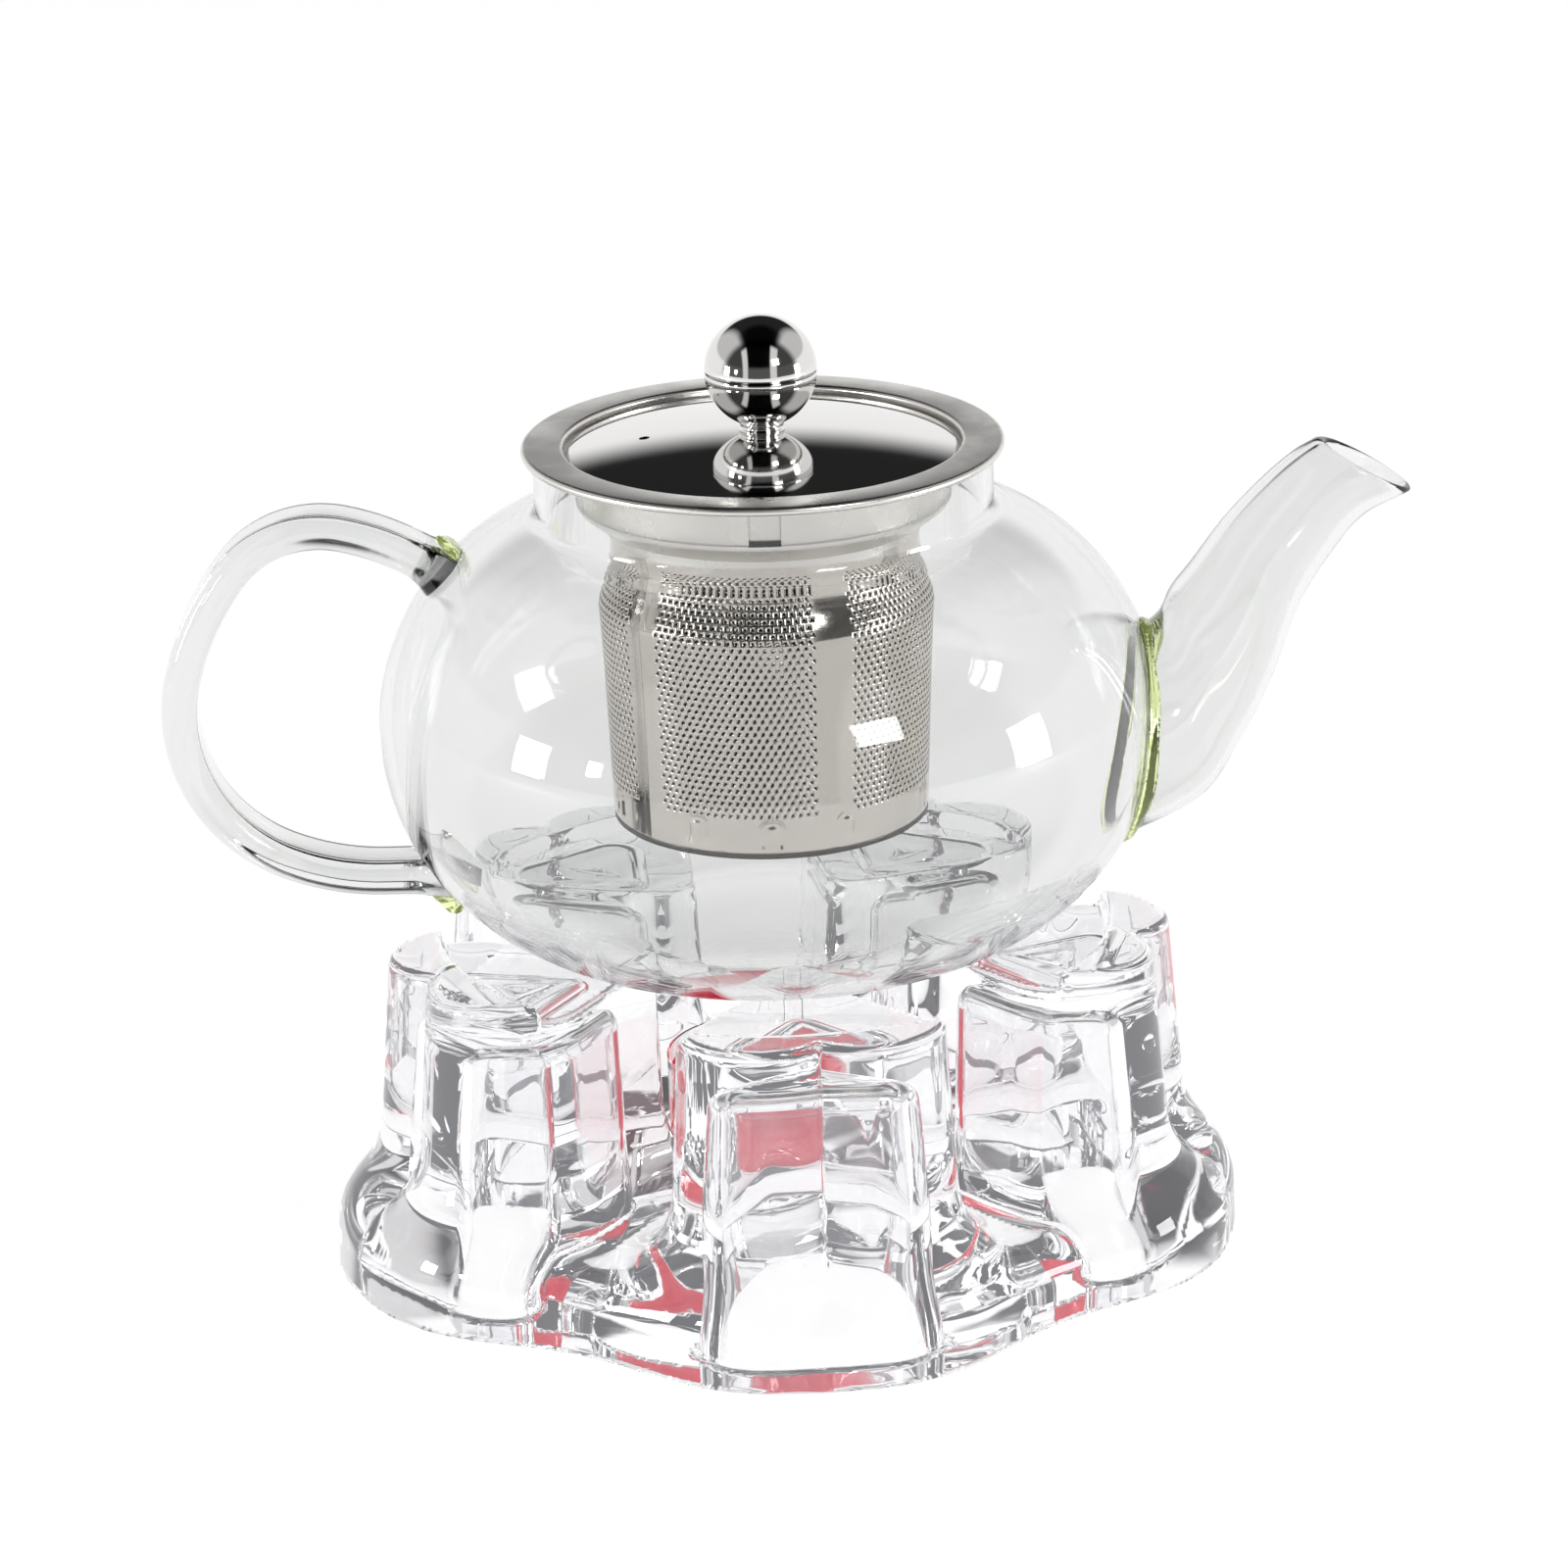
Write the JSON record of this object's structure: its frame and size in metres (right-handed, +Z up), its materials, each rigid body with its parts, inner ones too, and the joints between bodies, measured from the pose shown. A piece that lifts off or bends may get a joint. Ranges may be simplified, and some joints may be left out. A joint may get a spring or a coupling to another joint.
{
  "type": "glass teapot with infuser on a warmer",
  "caption": "Round clear glass teapot with a spout, a fused rod handle, a steel infuser and lid with a ball knob, standing on a pressed-glass warmer over a tealight.",
  "frame": {"origin": "centre of the warmer's underside, on the pot's axis", "axes": "+Z up along the pot's axis, +X towards the spout, -X towards the handle, -Y towards the warmer's first column"},
  "size_m": [0.2092, 0.1498, 0.1602],
  "materials": {
    "pot_glass": "clear blown borosilicate glass, fire-polished edges",
    "seal_glass": "clear fused glass with a yellow-green tint where it is thick",
    "crystal_glass": "clear pressed crystal glass with soft rounded edges",
    "cup_glass": "thin clear cup",
    "polished_steel": "mirror-polished stainless steel",
    "brushed_steel": "fine satin stainless steel, spun marks around the axis",
    "basket_steel": "satin stainless sheet with fine perforations",
    "plain_steel": "plain turned steel",
    "red_wax": "dyed candle wax, slightly translucent",
    "wick_cotton": "waxed cotton braid"
  },
  "bodies": {
    "warmer": {"warmer_glass": "crystal_glass"},
    "tealight": {"tealight_cup": "cup_glass", "tealight_wax": "red_wax", "tealight_wick": "wick_cotton", "wick_sustainer": "plain_steel"},
    "teapot": {"glass_body": "pot_glass", "glass_spout": "pot_glass", "spout_seal_ring": "seal_glass", "glass_handle": "pot_glass", "handle_upper_seal": "seal_glass", "handle_lower_seal": "seal_glass"},
    "infuser": {"infuser_collar": "brushed_steel", "infuser_basket": "basket_steel", "infuser_base": "basket_steel"},
    "lid": {"lid_cover": "polished_steel", "lid_skirt": "brushed_steel", "knob_upper_shell": "polished_steel", "knob_lower_shell": "polished_steel", "knob_insert": "plain_steel", "knob_spacer": "polished_steel", "screw_washer": "plain_steel", "knob_screw": "plain_steel"}
  },
  "joints": [
    {"name": "teapot_lift", "type": "slide", "parent": "warmer", "child": "teapot", "axis": [0, 0, 1], "range_m": [0, 0.06]},
    {"name": "infuser_lift", "type": "slide", "parent": "teapot", "child": "infuser", "axis": [0, 0, 1], "range_m": [0, 0.07]},
    {"name": "lid_lift", "type": "slide", "parent": "infuser", "child": "lid", "axis": [0, 0, 1], "range_m": [0, 0.025]},
    {"name": "tealight_lift", "type": "slide", "parent": "warmer", "child": "tealight", "axis": [0, 0, 1], "range_m": [0, 0.012]}
  ]
}
